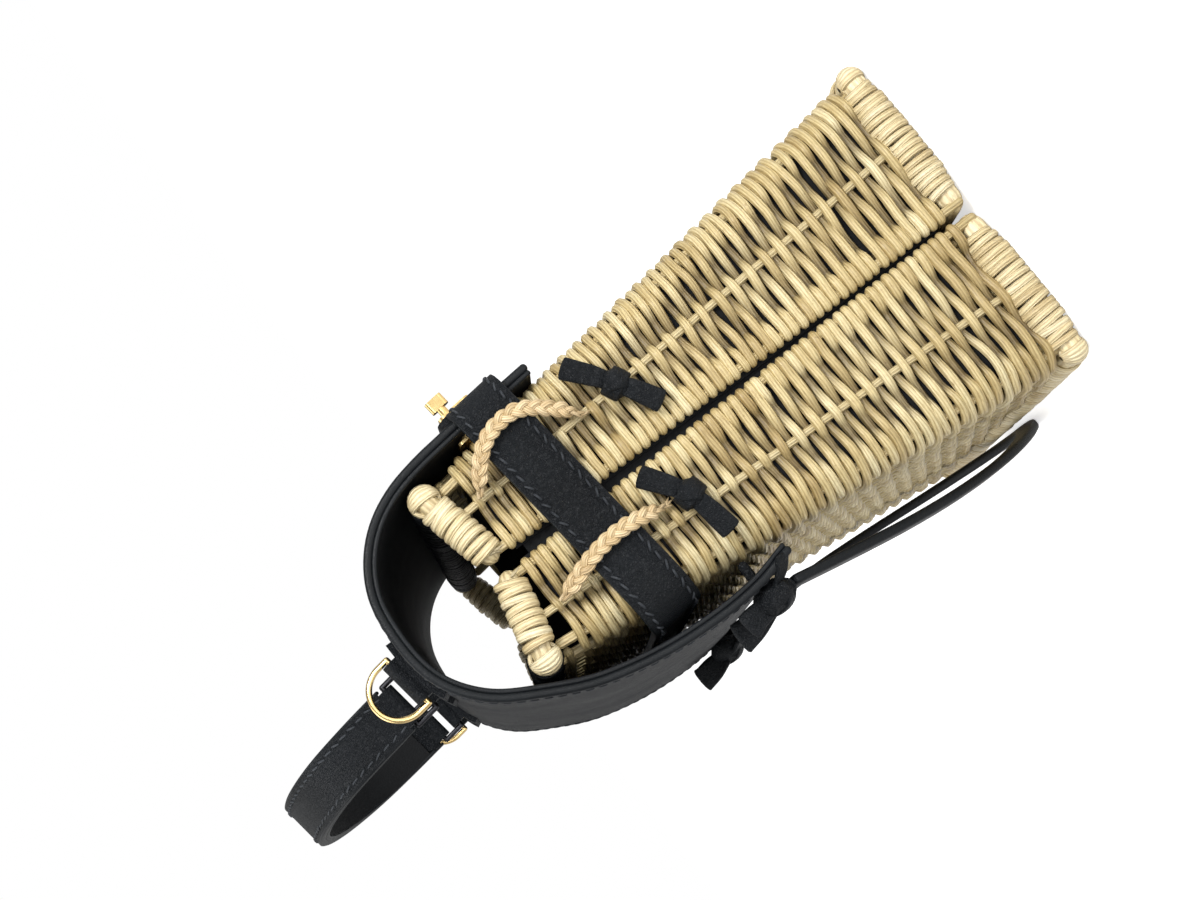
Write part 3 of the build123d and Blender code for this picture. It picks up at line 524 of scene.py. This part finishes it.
def rims(row, side, seed):
    """The wrapped rods of one tray: the top rod with its two end rods, then the loop that it stands on."""
    rng = np.random.default_rng(seed)
    top = Bundle()
    x_end = half_length(END_RIM_Z) - 2.0
    long_rod = np.array([(x, side * RIM_Y, RIM_Z) for x in np.linspace(-x_end + 3.2, x_end - 3.2, 30)])
    # painted shade: the long top rod and its end rods carry fixed amounts of painted shade
    top.tube(long_rod, TOP_ROD, sides=12, tone=0.6, deep=0.1)
    for hand in (-1, 1):
        knob = np.array((hand * x_end, side * RIM_Y, RIM_Z))
        tip = np.array((hand * x_end, side * (END_RIM_Y - 0.6), END_RIM_Z - 0.1))
        top.tube(np.linspace(knob, tip, 6), END_ROD, sides=10, tone=0.5, deep=0.3)
        wraps(top, knob + (tip - knob) * 0.14, tip, 3.1, 2.5, rng, 0.85, 0.16, 0.5)
        # bands that fan round the knob
        for k in range(6):
            turn = 0.1 + 0.3 * k
            spoke = np.array((hand * np.cos(turn), side * np.sin(turn), 0))
            inset = np.array((-hand * 1.2, 0, 0))
            fan_ring(top, knob + inset, spoke, TOP_ROD, (1.25, 0.7), float(rng.uniform(0.5, 0.9)))
        # frayed tips of the last strip, at the slit
        for k in range(5 if side < 0 else 2):
            root = tip + np.array((hand * 2.6, -side * 0.4, -1.5 + k * 0.5))
            lean = np.array((hand * rng.uniform(0.3, 1.6), -side * rng.uniform(0.2, 1.4),
                             -rng.uniform(1.6, 3.6)))
            tip_line = [root, root + lean * 0.5, root + lean]
            top.tube(tip_line, [0.34, 0.26, 0.1], up=(1, 0.1, 0), sides=6, tone=0.8)
    top.piece("wrapped_top_" + row, "bag", "cane", CANE, replaces=["top_rim_" + row])

    foot = Bundle()
    end_x, outer_y, inner_y = FOOT_END_X, side * FOOT_OUTER_Y, side * FOOT_INNER_Y
    outer_rod = [(x, outer_y, 4.1) for x in np.linspace(-end_x + 3, end_x - 3, 30)]
    inner_rod = [(x, inner_y, 4.35) for x in np.linspace(-end_x, end_x, 30)]
    # painted shade: the foot's long rods carry small fixed amounts of painted shade
    foot.tube(outer_rod, OUTER_FOOT, sides=12, tone=0.65, deep=0.1)
    foot.tube(inner_rod, INNER_FOOT, sides=12, tone=0.7, deep=0.15)
    wraps(foot, (-88, outer_y, 4.35), (88, outer_y, 4.35), 3.55, 4.4, rng, 0.6, 0.1)
    for hand in (-1, 1):
        near = np.array((hand * end_x, side * 5.0, FOOT_END_Z))
        far = np.array((hand * end_x, outer_y, FOOT_END_Z))
        foot.tube(np.linspace(near, far, 8), END_FOOT, sides=12, tone=0.75, deep=0.0)
        raised = np.array((0, 0, 0.8))
        first, last = near + (far - near) * 0.04 + raised, near + (far - near) * 0.94 + raised
        wraps(foot, first, last, 3.25, 2.1, rng, 0.75, 0.07, 1.35)
        for k in range(5):
            turn = 0.15 + 0.33 * k
            spoke = np.array((hand * np.cos(turn), side * np.sin(turn), 0))
            corner = np.array((hand * end_x, outer_y, 4.45))
            fan_ring(foot, corner, spoke, 3.5, (1.3, 0.6), float(rng.uniform(0.4, 0.9)), 18)
        if side < 0:
            # the knotted end of the strip, above the foot
            hub = np.array((hand * 98.2, side * 23.5, 9.2))
            angle = np.linspace(0, 4.6 * np.pi, 26)
            coil = hub + np.stack([hand * 0.25 * angle / 3, 1.5 * np.cos(angle) * (1 - angle / 24),
                                   1.9 * np.sin(angle) * (1 - angle / 24)], 1)
            foot.tube(coil, 0.75, up=(1, 0.02, 0.03), sides=6, tone=0.8)
    foot.piece("wrapped_foot_" + row, "bag", "cane", CANE, replaces=["base_rim_" + row])


woven_tray("front", -1, 11)
woven_tray("back", 1, 23)
rims("front", -1, 5)
rims("back", 1, 8)

# cane lashings: figures of two circles, one round each inner foot rod
LASH_PLACES, LASH_PITCH, LASH_RADIUS, LASH_Z = (-60.0, 0.0, 60.0), 2.4, 3.75, 4.35
lashing = Bundle()
lash_rng = np.random.default_rng(4)
for x in LASH_PLACES:
    for k in range(3):
        angle = circle(28)
        around = np.stack([np.zeros(28), np.cos(angle), np.sin(angle)], 1)
        ring = np.stack([np.full(28, x - LASH_PITCH + LASH_PITCH * k),
                         FOOT_INNER_Y * np.sign(np.cos(angle)) + LASH_RADIUS * np.cos(angle),
                         LASH_Z + LASH_RADIUS * np.sin(angle)], 1)
        tone = float(lash_rng.uniform(0.4, 0.9))
        lashing.band(ring, (1.25, 0.38), around, sides=8, power=3.0, closed=True, tone=tone)
lashing.piece("cane_lashings", "bag", "cane", CANE, replaces=["base_lashings"])

# ------------------------------------------------------------------ routes and bands in leather and raffia
def smooth_route(points):
    """Points along the NURBS line of a route, order 3, that starts and ends on its first and last points."""
    curve = bpy.data.curves.new("route", "CURVE")
    curve.dimensions, curve.resolution_u = "3D", 10
    spline = curve.splines.new("NURBS")
    spline.points.add(len(points) - 1)
    weighted = np.concatenate([np.asarray(points, float), np.ones((len(points), 1))], 1)
    spline.points.foreach_set("co", weighted.ravel())
    spline.order_u, spline.use_endpoint_u = 3, True
    holder = bpy.data.objects.new("route", curve)
    bpy.context.scene.collection.objects.link(holder)
    bpy.context.view_layer.update()
    line = bpy.data.meshes.new_from_object(holder.evaluated_get(bpy.context.evaluated_depsgraph_get()))
    found = np.empty(len(line.vertices) * 3)
    line.vertices.foreach_get("co", found)
    bpy.data.objects.remove(holder)
    bpy.data.curves.remove(curve)
    bpy.data.meshes.remove(line)
    return found.reshape(-1, 3)


def resampled(path, pitch):
    """The path at equal steps of length, close to the pitch, and its whole length."""
    path = np.asarray(path, float)
    run = np.concatenate([[0], np.cumsum(np.linalg.norm(np.diff(path, axis=0), axis=1))])
    at = np.linspace(0, run[-1], max(2, int(round(run[-1] / pitch)) + 1))
    return np.stack([np.interp(at, run, path[:, k]) for k in range(3)], 1), run[-1]


def through(points, steps=8):
    """Catmull-Rom line through points: p(t) = 0.5(2b + (c-a)t + (2a-5b+4c-d)t^2 + (3b-a-3c+d)t^3)."""
    p = np.asarray(points, float)
    p = np.concatenate([2 * p[:1] - p[1:2], p, 2 * p[-1:] - p[-2:-1]])
    t = np.linspace(0, 1, steps, endpoint=False)[:, None]
    parts = [0.5 * (2 * b + (c - a) * t + (2 * a - 5 * b + 4 * c - d) * t ** 2
                    + (3 * b - a - 3 * c + d) * t ** 3)
             for a, b, c, d in zip(p[:-3], p[1:-2], p[2:-1], p[3:])]
    return np.concatenate(parts + [p[-2:-1]])


BELT_Z, BELT_TILT, BELT_HALF_WIDTH = 133.4, math.radians(6.0), 7.8
BELT_END_X = half_length(BELT_Z) + 3.0
BELT_THICK, BELT_SEAM = 2.2, 5.9         # thickness, and the stitches' distance from its middle line
BELT_FRONT, BELT_BACK, FRONT_BEND, BACK_BEND = 38.9, 36.2, 4.5, 10.0
BELT_UP = (0, 0.1045, 0.9945)            # across the tilted belt, upwards
BRAID_PITCH, BRAID_SIDE, BRAID_OUT, BRAID_STRAND = 9.6, 1.32, 0.62, 1.02


def belt_place(points):
    """Points of the belt's own tilted frame in the bag's frame."""
    p = np.asarray(points, float)
    c, s = math.cos(BELT_TILT), math.sin(BELT_TILT)
    return np.stack([p[:, 0], c * p[:, 1] + s * p[:, 2], BELT_Z - s * p[:, 1] + c * p[:, 2]], 1)


LOOPS = {
    "back": ((17.0, 151.0), (14.5, 143.5), (12.0, 133.0), (12.6, 122.8), (14.0, 115.5)),
    "front": ((-17.0, 151.5), (-23.5, 147.5), (-29.5, 138.0), (-28.0, 126.5), (-18.0, 117.5)),
}


def braid(hand_name, hand, row, seed):
    """Three strands: sideways a*sin(f), outwards b*sin(2f), each a third of a turn behind the last."""
    rng = np.random.default_rng(seed)
    over = BELT_END_X + BELT_THICK + 1.9
    route = []
    for k, (y, z) in enumerate(LOOPS[row]):
        x = half_length(z) + 1.6 if k in (0, 4) else over
        route.append((hand * x, y, z))
    path, length = resampled(smooth_route(route), 0.42)
    _, side, top = frames(path, (hand, 0, 0))
    share = np.linspace(0, 1, len(path))
    strands = Bundle()
    full = np.clip(np.minimum(share, 1 - share) * 9, 0.45, 1)
    for k in range(3):
        turn = 2 * np.pi * (share * length / BRAID_PITCH + k / 3)
        line = path + side * (BRAID_SIDE * full * np.sin(turn))[:, None]
        line = line + top * (BRAID_OUT * np.sin(2 * turn))[:, None]
        width = BRAID_STRAND * full * (1 + 0.06 * np.sin(turn * 2.3 + k))
        strands.band(line, np.stack([width, width * 0.78], 1), top, sides=10, power=2.3, tone=0.35 + 0.2 * k)
    for k in range(3):
        lean = np.array([hand * rng.uniform(0.1, 0.5), rng.uniform(-1.6, 1.6), rng.uniform(-2.6, -1.2)])
        loose_end = [path[-1], path[-1] + lean * 0.5, path[-1] + lean]
        strands.tube(loose_end, [0.5, 0.4, 0.14], up=(1, 0.1, 0), sides=6)
    strands.piece(f"raffia_braid_{hand_name}_{row}", "bag", "raffia", RAFFIA,
                  replaces=[f"belt_loop_{hand_name}_{row}"])


KNOTS = {
    "back": ((15.5, 108.5), ((4.2, 116.0), (29.0, 106.0))),
    "front": ((-19.0, 106.0), ((-30.5, 114.5), (-8.2, 99.6))),
}


def knot_loops(lace, hub, across, along, out, loops, thick):
    """Crossed loops of lace round a hub: each is an ellipse in the plane of out and a turned across."""
    angle = circle(26)
    for turn, wide, reach, lift in loops:
        a = across * math.cos(turn) + along * math.sin(turn)
        around = a * np.cos(angle)[:, None] + out * np.sin(angle)[:, None]
        ring = hub + a * (reach * np.cos(angle))[:, None] + out * (lift * np.sin(angle))[:, None]
        lace.band(ring, (wide, thick), around, sides=12, power=4.0, closed=True, tone=0.5)


def lace_knot(hand_name, hand, row, seed):
    """A flat lace in an overhand knot: three crossed loops of lace, and two square-cut tails."""
    rng = np.random.default_rng(seed)
    (y, z), tails = KNOTS[row]
    base = half_length(z) + 0.3
    hub = np.array((hand * (base + 3.0), y, z))
    out = np.array((hand, 0.0, 0.0))
    lace = Bundle()
    for k, (ty, tz) in enumerate(tails):
        end = np.array((hand * (half_length(tz) + 3.4), ty, tz))
        middle = (hub + end) / 2 + out * 1.3
        path = through([hub - out * 0.8, hub + (middle - hub) * 0.5 + out * 0.4, middle, end], 6)
        twist = rng.normal(0, 0.25)
        lean = out + np.array((0, twist, -twist))
        width = np.linspace(2.2, 3.1, len(path))
        lace.band(path, np.stack([width, np.full(len(path), 0.72)], 1), lean, sides=14, power=5.0, tone=0.5)
    run = np.array((0, tails[1][0] - tails[0][0], tails[1][1] - tails[0][1]), float)
    run /= np.linalg.norm(run)
    knot_loops(lace, hub - out * 0.2, np.cross(out, run), run, out,
               ((0.15, 2.5, 3.7, 2.7), (0.95, 2.2, 3.3, 3.2), (-0.75, 2.1, 3.4, 2.9)), 0.62)
    lace.piece(f"lace_knot_{hand_name}_{row}_tied", "bag", "black_leather", BLACK_LEATHER,
               replaces=[f"lace_knot_{hand_name}_{row}"])


def back_tie(hand_name, hand, seed):
    """The lace that gathers the flap's back hem to the wicker's corner, knotted on the outside."""
    rng = np.random.default_rng(seed)
    out = np.array((0.0, 1.0, 0.0))
    lace = Bundle()
    hub = np.array((hand * 90.0, 49.4, 106.5))
    knot_loops(lace, hub, np.array((1.0, 0, 0)), np.array((0, 0, 1.0)), out,
               ((0.2, 3.2, 5.2, 3.6), (1.1, 2.8, 5.0, 4.0), (-0.7, 2.8, 5.2, 3.7), (1.7, 2.6, 5.6, 3.3)), 0.7)
    # each tail: its route from the knot and its half widths at both ends
    tails = ((((0, 0, 0), (-2.4, 1.6, 5), (-3.0, 2.6, 9), (-2.2, 3.0, 13.5)), 3.0, 4.6),
             (((0, 0, 0), (1.6, 1.0, 4), (3.0, 1.4, 7.5), (3.8, 2.2, 10.5)), 2.8, 4.0),
             (((0, 0, 0), (-3.4, 1.6, -2.0), (-6.0, 0.2, -5.0)), 2.8, 2.8),
             (((0, -1, 0), (4.0, -3.6, -4.4), (7.6, -7.2, -7.2)), 2.8, 2.8))
    for offsets, first, last in tails:
        path = hub + through([np.array((hand * a, b, c)) for a, b, c in offsets], 7)
        width = np.linspace(first, last, len(path))
        face = np.array((hand, 0.35, 0.0)) if last > first else out
        face = face + np.array((0, 0, rng.normal(0, 0.1)))
        lace.band(path, np.stack([width, np.full(len(path), 0.8)], 1), face, sides=14, power=5.0)
    through_hem = [(hand * 90.0, y, z) for y, z in ((38.2, 108.0), (44.0, 108.0), (50.0, 107.5))]
    lace.tube(through_hem, 1.45, sides=10)
    lace.piece(f"back_tie_{hand_name}", "bag", "black_leather", BLACK_LEATHER,
               replaces=[f"flap_tie_{hand_name}"])


for hand_name, hand in (("left", -1), ("right", 1)):
    for row in ("front", "back"):
        braid(hand_name, hand, row, 31 + hand + (2 if row == "front" else 0))
        lace_knot(hand_name, hand, row, 41 + hand + (2 if row == "front" else 0))
    back_tie(hand_name, hand, 51 + hand)

# ------------------------------------------------------------------ hanging strap
STRAP_X, STRAP_LOW, STRAP_SAG, STRAP_TOP, STRAP_RADIUS = 88.0, 2.4, 50.0, 99.8, 1.6
STRAP_END_Y, STRAP_RIGHT_Y, STRAP_BELLY, STRAP_OFF_WALL = 49.17, 47.0, 4.8, 2.5
BELLY_SCALE = 6.75                        # s^2 * (1 + s) is at most 1 / 6.75 for s from -1 to 0


def strap_route():
    """A catenary, z = low + rise * (cosh(x/a) - 1) / (cosh(end/a) - 1), that stands out on its left half."""
    share = np.linspace(-1, 1, 17)
    z = STRAP_LOW + (STRAP_TOP - STRAP_LOW) * (np.cosh(share * STRAP_X / STRAP_SAG) - 1) / (
        math.cosh(STRAP_X / STRAP_SAG) - 1)
    wall = half_depth(np.where(share < 0, STRAP_LOW, z)) + STRAP_RADIUS + STRAP_OFF_WALL
    left = wall + (STRAP_END_Y - wall) * share ** 4 + STRAP_BELLY * BELLY_SCALE * share ** 2 * (1 + share)
    y = np.where(share < 0, left, wall + (STRAP_RIGHT_Y - wall) * share ** 8)
    return np.stack([share * STRAP_X, y, z], 1)


strap_line = resampled(smooth_route(strap_route()), 2.2)[0]
strap_bundle = Bundle()
strap_bundle.band(strap_line, (3.6, 1.5), (0, 1, 0), sides=16, power=4.5)
strap = strap_bundle.piece("hanging_leather_strap", "bag", "black_leather", SMOOTH_EDGE,
                           replaces=["hanging_strap"])

# ------------------------------------------------------------------ lacing round the long top rods
for row, side in (("front", -1), ("back", 1)):
    lacing = Bundle()
    lacing_rng = np.random.default_rng(61 + side)
    wraps(lacing, (-89, side * RIM_Y, RIM_Z), (89, side * RIM_Y, RIM_Z), 4.0, 4.3, lacing_rng, 0.6, 0.4)
    lacing.piece("leather_lacing_" + row, "bag", "black_leather", BLACK_LEATHER,
                 replaces=["rim_lacing_" + row])

# ------------------------------------------------------------------ stitches and painted edges
def stitches(bundle, path, normal, pitch=3.3, reach=1.25, lean=0.35, lift=0.32):
    """Short threads along a path: each is an arc out of the leather, and every second one leans more."""
    points, _ = resampled(path, pitch)
    points = (points[1:] + points[:-1]) / 2
    ups = np.broadcast_to(np.asarray(normal, float), (len(path), 3))
    nearest = np.argmin(np.linalg.norm(np.asarray(path)[None] - points[:, None], axis=2), axis=1)
    tangent, _, _ = frames(points, ups[nearest])
    for k, (place, along, up) in enumerate(zip(points, tangent, ups[nearest])):
        cross = np.cross(up, along)
        turn = lean if k % 2 else lean * 0.35
        along = along * math.cos(turn) + cross * math.sin(turn)
        line = [place + along * reach * far + up * rise
                for far, rise in ((-1, -0.25), (-0.7, lift * 0.7), (0, lift), (0.7, lift * 0.7), (1, -0.25))]
        bundle.tube(line, [0.26, 0.33, 0.36, 0.33, 0.26], up=cross, sides=6, ends=False)


def belt_ring(height, grow, front_reach):
    """A line on the belt at a height across it, from the left tongue round the back to the right tongue."""
    x, front, back = BELT_END_X + grow, BELT_FRONT + grow, BELT_BACK + grow
    r_front, r_back = FRONT_BEND + grow, BACK_BEND + grow
    quarter = np.linspace(0, np.pi / 2, 8)
    half = np.concatenate([
        np.stack([np.linspace(-front_reach, -x + r_front, 4), np.full(4, -front)], 1),
        np.stack([-x + r_front - r_front * np.sin(quarter), -front + r_front - r_front * np.cos(quarter)], 1),
        np.stack([np.full(12, -x), np.linspace(-front + r_front, back - r_back, 12)], 1),
        np.stack([-x + r_back - r_back * np.cos(quarter), back - r_back + r_back * np.sin(quarter)], 1),
        np.stack([np.linspace(-x + r_back, 0, 30), np.full(30, back)], 1)])
    _, keep = np.unique(half.round(4), axis=0, return_index=True)
    half = half[np.sort(keep)]
    whole = np.concatenate([half, (half * np.array([-1, 1]))[::-1][1:]])
    tangent = np.gradient(whole, axis=0)
    normal = np.stack([tangent[:, 1], -tangent[:, 0]], 1)
    normal /= np.linalg.norm(normal, axis=1)[:, None]
    if normal[len(half) // 2] @ whole[len(half) // 2] < 0:
        normal = -normal
    path = belt_place(np.column_stack([whole, np.full(len(whole), height)]))
    normals = belt_place(np.column_stack([normal, np.zeros(len(normal))])) - np.array([0, 0, BELT_Z])
    return path, normals


belt_thread = Bundle()
for height in (-BELT_SEAM, BELT_SEAM):
    ring, outward = belt_ring(height, BELT_THICK, 80.0)
    stitches(belt_thread, ring, outward, 3.2, 1.35, 0.5 if height > 0 else -0.5, 0.42)
belt_thread.piece("belt_stitches", "bag", "black_leather", THREAD)

belt_rim = Bundle()
for height in (-BELT_HALF_WIDTH, BELT_HALF_WIDTH):
    ring, outward = belt_ring(height, BELT_THICK / 2, 90.0)
    belt_rim.band(resampled(ring, 2.0)[0], (1.1, 0.32), BELT_UP, sides=10, power=2.6)
belt_rim.piece("belt_painted_edges", "bag", "black_leather", SMOOTH_EDGE)

FLAP = through([(0, y, z) for y, z in (
    (-38.6, 122.0), (-37.7, 134.0), (-37.2, 148.0), (-34.0, 168.0), (-26.5, 181.5), (-14.0, 190.0),
    (2.0, 192.0), (15.0, 189.5), (26.0, 181.5), (34.0, 169.0), (40.2, 156.0), (44.4, 139.0), (46.0, 122.0),
    (45.4, 108.0), (43.0, 97.0))])
FLAP_EDGE_X, HEM_EDGE_X, FLAP_SEAM_X, HEM_SEAM_X = 96.9, 96.5, 93.2, 92.0
_, flap_side, _ = frames(FLAP, (1, 0, 0))
FLAP_NORMAL = flap_side if flap_side[len(FLAP) // 2][2] > 0 else -flap_side
flap_edges = Bundle()
for hand in (-1, 1):
    # the outer sheet's edge, then the inner layer's: how deep it lies, half thickness, bulge and shade
    for depth, half, bulge, shade in ((1.0, 1.15, 1.05, 0.6), (2.75, 0.72, 0.75, 0.4)):
        line = FLAP - FLAP_NORMAL * depth + np.array((hand * FLAP_EDGE_X, 0, 0))
        flap_edges.band(line, (half, bulge), (1, 0, 0), sides=12, power=2.6, tone=shade)
for end, normal in ((FLAP[0], FLAP_NORMAL[0]), (FLAP[-1], FLAP_NORMAL[-1])):
    line = np.linspace(-HEM_EDGE_X, HEM_EDGE_X, 60)[:, None] * np.array((1.0, 0, 0)) + (end - normal * 1.7)
    flap_edges.band(line, (1.75, 0.6), np.cross(normal, (1, 0, 0)), sides=10, power=2.6)
flap_edges.piece("flap_painted_edges", "bag", "black_leather", SMOOTH_EDGE)
flap_thread = Bundle()
for hand in (-1, 1):
    seam = FLAP[3:-3] + np.array((hand * FLAP_SEAM_X, 0, 0))
    stitches(flap_thread, seam, FLAP_NORMAL[3:-3], 3.6, 1.3, 0.3 * hand, 0.1)
hem_x = np.linspace(-HEM_SEAM_X, HEM_SEAM_X, 40)
hem = np.stack([hem_x, np.full(40, FLAP[2][1]), np.full(40, FLAP[2][2] + 1.5)], 1)
stitches(flap_thread, hem, FLAP_NORMAL[2], 3.6, 1.3, 0.3, 0.28)
flap_thread.piece("flap_stitches", "bag", "black_leather", THREAD)

# the handle's own leaning plane: x along the bag, y across the band, z up from the flap
LEAN = math.radians(8.0)
HANDLE_FOOT = np.array((0.0, 8.2, 191.39))
ARCH_HALF, ARCH_LOW, ARCH_RISE = 61.95, 12.3, 44.2
HANDLE_SEAM, HANDLE_EDGE = 5.3, 7.0       # stitches and painted edges, from the band's middle line


def handle_place(p):
    p = np.asarray(p, float)
    c, s = math.cos(LEAN), math.sin(LEAN)
    return np.stack([p[:, 0], c * p[:, 1] + s * p[:, 2], -s * p[:, 1] + c * p[:, 2]], 1) + HANDLE_FOOT


arch = [(ARCH_HALF * a, ARCH_LOW + ARCH_RISE * b) for a, b in
        ((1.0, 0.0), (0.97, 0.30), (0.86, 0.60), (0.62, 0.83), (0.32, 0.96), (0.0, 1.0))]
arch = through([(-x, 0, z) for x, z in arch[:-1]] + [(x, 0, z) for x, z in arch[::-1]])
_, arch_side, _ = frames(arch, (0, 1, 0))
ARCH_NORMAL = arch_side if arch_side[len(arch) // 2][2] > 0 else -arch_side
handle_thread, handle_edges = Bundle(), Bundle()
for y in (-HANDLE_SEAM, HANDLE_SEAM):
    line = handle_place(arch + np.array((0, y, 0)))
    up = handle_place(ARCH_NORMAL) - HANDLE_FOOT
    stitches(handle_thread, line, up, 3.3, 1.25, 0.35 if y > 0 else -0.35, 0.12)
for y in (-HANDLE_EDGE, HANDLE_EDGE):
    # the outer band's edge, then the shorter inner band's: how deep it lies and its half thickness
    for drop, half in ((1.2, 1.25), (3.15, 0.8)):
        keep = slice(2, -2) if drop > 2 else slice(0, None)
        line = handle_place((arch - ARCH_NORMAL * drop + np.array((0, y, 0)))[keep])
        handle_edges.band(line, (half, 0.55), handle_place([(0, 1, 0)])[0] - HANDLE_FOOT, sides=10, power=2.6)
handle_thread.piece("handle_stitches", "handle_body", "black_leather", THREAD)
handle_edges.piece("handle_painted_edges", "handle_body", "black_leather", SMOOTH_EDGE)

# ------------------------------------------------------------------ floor, light and camera
FLOOR_GLOW, WORLD_LIGHT = 0.62, 0.44
floor_mesh = bpy.data.meshes.new("floor")
floor_mesh.from_pydata([(-6, -6, 0), (6, -6, 0), (6, 6, 0), (-6, 6, 0)], [], [(0, 1, 2, 3)])
paper = Finish("studio_paper")
paper.done((0.93, 0.93, 0.93), 0.85)
paper.shader.inputs["Emission Strength"].default_value = FLOOR_GLOW
direct_view = paper.node("ShaderNodeLightPath", None, out="Is Camera Ray")
glow = paper.mix(direct_view, (0.0, 0.0, 0.0), (1.0, 1.0, 1.0))
paper.tree.links.new(glow.link, paper.shader.inputs["Emission Color"])
floor_mesh.materials.append(paper.material)
floor = bpy.data.objects.new("floor", floor_mesh)
bpy.context.scene.collection.objects.link(floor)

scene = bpy.context.scene
scene.view_settings.view_transform = "Standard"
world = bpy.data.worlds.new("studio")
scene.world = world
world.use_nodes = True
background = world.node_tree.nodes["Background"]
background.inputs["Color"].default_value = (1, 1, 1, 1)
seen = world.node_tree.nodes.new("ShaderNodeLightPath")
brightness = world.node_tree.nodes.new("ShaderNodeMapRange")
brightness.inputs["To Min"].default_value, brightness.inputs["To Max"].default_value = WORLD_LIGHT, 1.0
world.node_tree.links.new(seen.outputs["Is Camera Ray"], brightness.inputs["Value"])
world.node_tree.links.new(brightness.outputs["Result"], background.inputs["Strength"])


def softbox(name, place, target, size, power):
    light = bpy.data.lights.new(name, "AREA")
    light.shape, light.size, light.energy = "SQUARE", size, power
    lamp = bpy.data.objects.new(name, light)
    scene.collection.objects.link(lamp)
    lamp.location = place
    lamp.rotation_euler = (Vector(target) - Vector(place)).to_track_quat("-Z", "Y").to_euler()


softbox("key", (-0.95, -0.48, 0.5), (0, 0, 0.1), 0.4, 11.5)
softbox("top", (0.1, 0.2, 1.1), (0, 0, 0.1), 0.8, 6.0)
softbox("back_fill", (0.4, 0.9, 0.35), (0, 0, 0.1), 0.7, 0.7)
softbox("end_fill", (-0.95, 0.15, 0.12), (0, 0, 0.08), 0.5, 3.0)

camera_data = bpy.data.cameras.new("camera")
camera_data.sensor_fit, camera_data.sensor_width, camera_data.lens = "HORIZONTAL", 36.0, 63.36
camera = bpy.data.objects.new("camera", camera_data)
scene.collection.objects.link(camera)
right = Vector((-0.0086, 0.6129, -0.7901)).normalized()
ahead = Vector((0.98553, -0.12857, -0.11048)).normalized()
down = ahead.cross(right).normalized()
right = down.cross(ahead).normalized()
turn = Matrix((right, -down, -ahead)).transposed().to_4x4()
camera.matrix_world = Matrix.Translation((-0.6374, (62.3 + SHIFT) * MM, 0.180)) @ turn
scene.camera = camera
